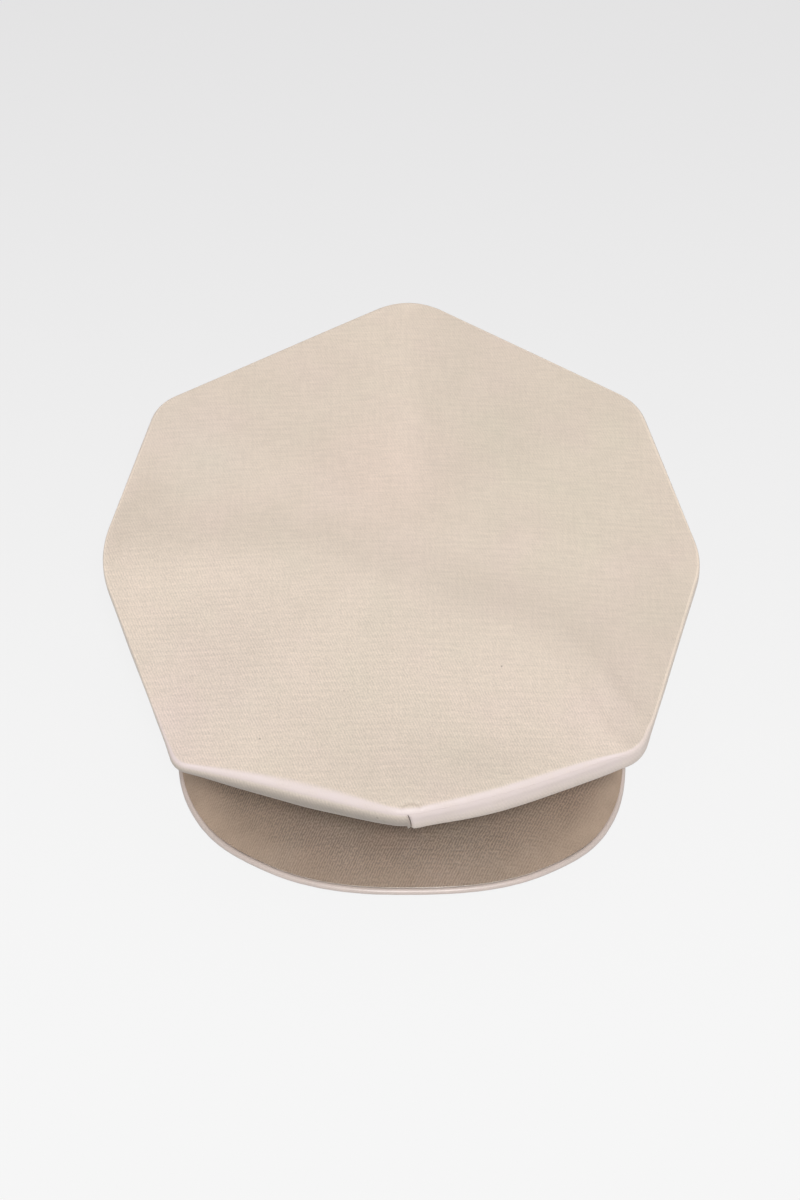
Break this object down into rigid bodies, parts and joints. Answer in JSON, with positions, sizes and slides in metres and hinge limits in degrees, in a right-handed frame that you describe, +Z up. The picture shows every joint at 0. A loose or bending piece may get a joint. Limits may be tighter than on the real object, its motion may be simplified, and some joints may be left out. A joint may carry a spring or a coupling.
{
  "type": "octagonal peaked cap",
  "caption": "Flat-topped eight-cornered cloth cap with a domed crown panel, side walls that turn in to an oval head band, and a short curved peak with a rolled edge.",
  "frame": {"origin": "middle of the bounding box in plan, on the surface the cap rests on", "axes": "+Z up, -Y towards the peak at the front, +X to the right of someone who faces the peak, which is the wearer's left"},
  "size_m": [0.2704, 0.2792, 0.0953],
  "materials": {
    "cream_twill": "satin",
    "cream_seam": "satin",
    "shaded_twill": "matt"
  },
  "bodies": {
    "root": {"crown_top": "cream_twill", "side_wall_right": "cream_twill", "side_wall_left": "cream_twill", "head_band": "cream_twill", "peak_upper_cover": "shaded_twill", "peak_under_cover": "cream_twill", "peak_edge": "cream_seam"}
  },
  "joints": []
}
